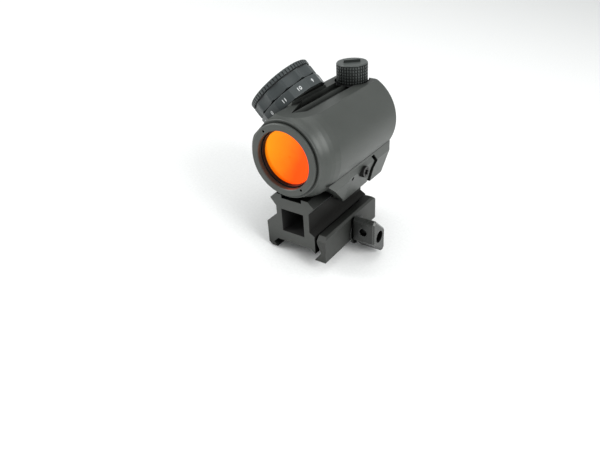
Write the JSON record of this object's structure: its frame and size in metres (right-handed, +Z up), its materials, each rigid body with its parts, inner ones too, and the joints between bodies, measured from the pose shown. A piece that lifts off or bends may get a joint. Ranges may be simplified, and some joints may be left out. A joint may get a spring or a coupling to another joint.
{
  "type": "red dot sight on a riser mount",
  "caption": "Compact tube red dot sight with a side brightness dial and screw turret caps, clamped on a see-through rail riser with a thumb nut.",
  "frame": {"origin": "centre of the flat seat that rests on the rail, at the middle of the riser's length", "axes": "+Y from the front lens to the eyepiece, +Z up through the tube axis, +X to the right, towards the thumb nut"},
  "size_m": [0.0555, 0.0599, 0.0788],
  "materials": {
    "anodised_body": "satin black anodised",
    "anodised_dial": "satin black anodised",
    "anodised_nut": "satin black anodised",
    "black_steel": "blackened",
    "cell_steel": "brushed",
    "contact_brass": "plain",
    "coated_glass": "orange reflective coating",
    "clear_glass": "clear",
    "seal_rubber": "matte",
    "board_plastic": "matte",
    "led_plastic": "gloss"
  },
  "bodies": {
    "sight": {"riser_block": "anodised_body", "cross_bolt": "black_steel", "clamp_guide_pins": "black_steel", "sight_housing": "anodised_body", "jaw_guide_pin": "black_steel", "front_bezel": "anodised_body", "objective_lens": "coated_glass", "objective_retainer": "anodised_body", "front_seal": "seal_rubber", "rear_bezel": "anodised_body", "eyepiece_lens": "clear_glass", "eyepiece_retainer": "anodised_body", "rear_seal": "seal_rubber", "elevation_turret_base": "anodised_body", "windage_turret_base": "anodised_body", "dial_base": "anodised_body", "switch_board": "board_plastic", "contact_spring": "contact_brass", "detent_spring": "black_steel", "detent_ball": "black_steel", "pitch_pins": "black_steel", "return_spring": "black_steel"},
    "clamp_plate_body": {"clamp_plate": "anodised_body"},
    "washer_body": {"nut_washer": "anodised_nut"},
    "nut_body": {"thumb_nut": "anodised_nut"},
    "jaw_body": {"base_clamp_jaw": "anodised_body"},
    "base_screw_body": {"base_clamp_screw": "black_steel"},
    "elevation_seal_body": {"elevation_cap_seal": "seal_rubber"},
    "elevation_cap_body": {"elevation_cap": "anodised_body"},
    "elevation_adjuster_body": {"elevation_adjuster": "black_steel"},
    "windage_seal_body": {"windage_cap_seal": "seal_rubber"},
    "windage_cap_body": {"windage_cap": "anodised_body"},
    "windage_adjuster_body": {"windage_adjuster": "black_steel"},
    "dial_body": {"brightness_dial": "anodised_dial", "battery": "cell_steel"},
    "battery_seal_body": {"battery_cap_seal": "seal_rubber"},
    "battery_cap_body": {"battery_cap": "anodised_dial"},
    "gimbal_body": {"pivot_ring": "anodised_body"},
    "optical_tube_body": {"inner_tube": "anodised_body", "yaw_pins": "black_steel", "led_holder": "anodised_body", "led_emitter": "led_plastic"}
  },
  "joints": [
    {"name": "plate_slide", "type": "slide", "parent": "sight", "child": "clamp_plate_body", "axis": [-1, 0, 0], "range_m": [-0.001, 0.001]},
    {"name": "nut_travel", "type": "slide", "parent": "sight", "child": "washer_body", "axis": [-1, 0, 0], "range_m": [-0.00101, 0.00101]},
    {"name": "nut_spin", "type": "hinge", "parent": "washer_body", "child": "nut_body", "pos_m": [0.0159, 0.0039, -0.0018], "axis": [-1, 0, 0], "range_deg": [-451, 451]},
    {"name": "jaw_slide", "type": "slide", "parent": "sight", "child": "jaw_body", "axis": [1, 0, 0], "range_m": [0, 0.0014]},
    {"name": "base_screw_spin", "type": "hinge", "parent": "jaw_body", "child": "base_screw_body", "pos_m": [0.01345, 0.0104, 0.0232], "axis": [1, 0, 0], "range_deg": [0, 721]},
    {"name": "elevation_cap_lift", "type": "slide", "parent": "sight", "child": "elevation_seal_body", "axis": [0, 0, 1], "range_m": [0, 0.0025]},
    {"name": "elevation_cap_spin", "type": "hinge", "parent": "elevation_seal_body", "child": "elevation_cap_body", "pos_m": [0, 0.0271, 0.0389], "axis": [0, 0, 1], "range_deg": [0, 1801]},
    {"name": "elevation_adjuster_spin", "type": "hinge", "parent": "sight", "child": "elevation_adjuster_body", "pos_m": [0, 0.0271, 0.0389], "axis": [0, 0, 1], "range_deg": [-720, 720]},
    {"name": "windage_cap_lift", "type": "slide", "parent": "sight", "child": "windage_seal_body", "axis": [-1, 0, 0], "range_m": [0, 0.0025]},
    {"name": "windage_cap_spin", "type": "hinge", "parent": "windage_seal_body", "child": "windage_cap_body", "pos_m": [0, 0.0271, 0.0389], "axis": [-1, 0, 0], "range_deg": [0, 1801]},
    {"name": "windage_adjuster_spin", "type": "hinge", "parent": "sight", "child": "windage_adjuster_body", "pos_m": [0, 0.0271, 0.0389], "axis": [-1, 0, 0], "range_deg": [-720, 720]},
    {"name": "dial_spin", "type": "hinge", "parent": "sight", "child": "dial_body", "pos_m": [0, 0.0021, 0.0389], "axis": [-0.7071, 0, 0.7071], "range_deg": [-180, 150]},
    {"name": "battery_cap_lift", "type": "slide", "parent": "dial_body", "child": "battery_seal_body", "axis": [-0.7071, 0, 0.7071], "range_m": [0, 0.0015]},
    {"name": "battery_cap_spin", "type": "hinge", "parent": "battery_seal_body", "child": "battery_cap_body", "pos_m": [0, 0.0021, 0.0389], "axis": [-0.7071, 0, 0.7071], "range_deg": [0, 1081]},
    {"name": "tube_pitch", "type": "hinge", "parent": "sight", "child": "gimbal_body", "pos_m": [0, -0.014, 0.0389], "axis": [1, 0, 0], "range_deg": [-0.5, 0.5]},
    {"name": "tube_yaw", "type": "hinge", "parent": "gimbal_body", "child": "optical_tube_body", "pos_m": [0, -0.014, 0.0389], "axis": [0, 0, 1], "range_deg": [-0.5, 0.5]}
  ],
  "couplings": [
    {"joint": "nut_spin", "follows": "plate_slide", "rad_per_m": 7854},
    {"joint": "nut_travel", "follows": "plate_slide", "ratio": 1},
    {"joint": "base_screw_spin", "follows": "jaw_slide", "rad_per_m": 8976},
    {"joint": "elevation_cap_spin", "follows": "elevation_cap_lift", "rad_per_m": 12566},
    {"joint": "windage_cap_spin", "follows": "windage_cap_lift", "rad_per_m": 12566},
    {"joint": "battery_cap_spin", "follows": "battery_cap_lift", "rad_per_m": 12566},
    {"joint": "tube_pitch", "follows": "elevation_adjuster_spin", "ratio": 0.00069444},
    {"joint": "tube_yaw", "follows": "windage_adjuster_spin", "ratio": 0.00069444}
  ]
}
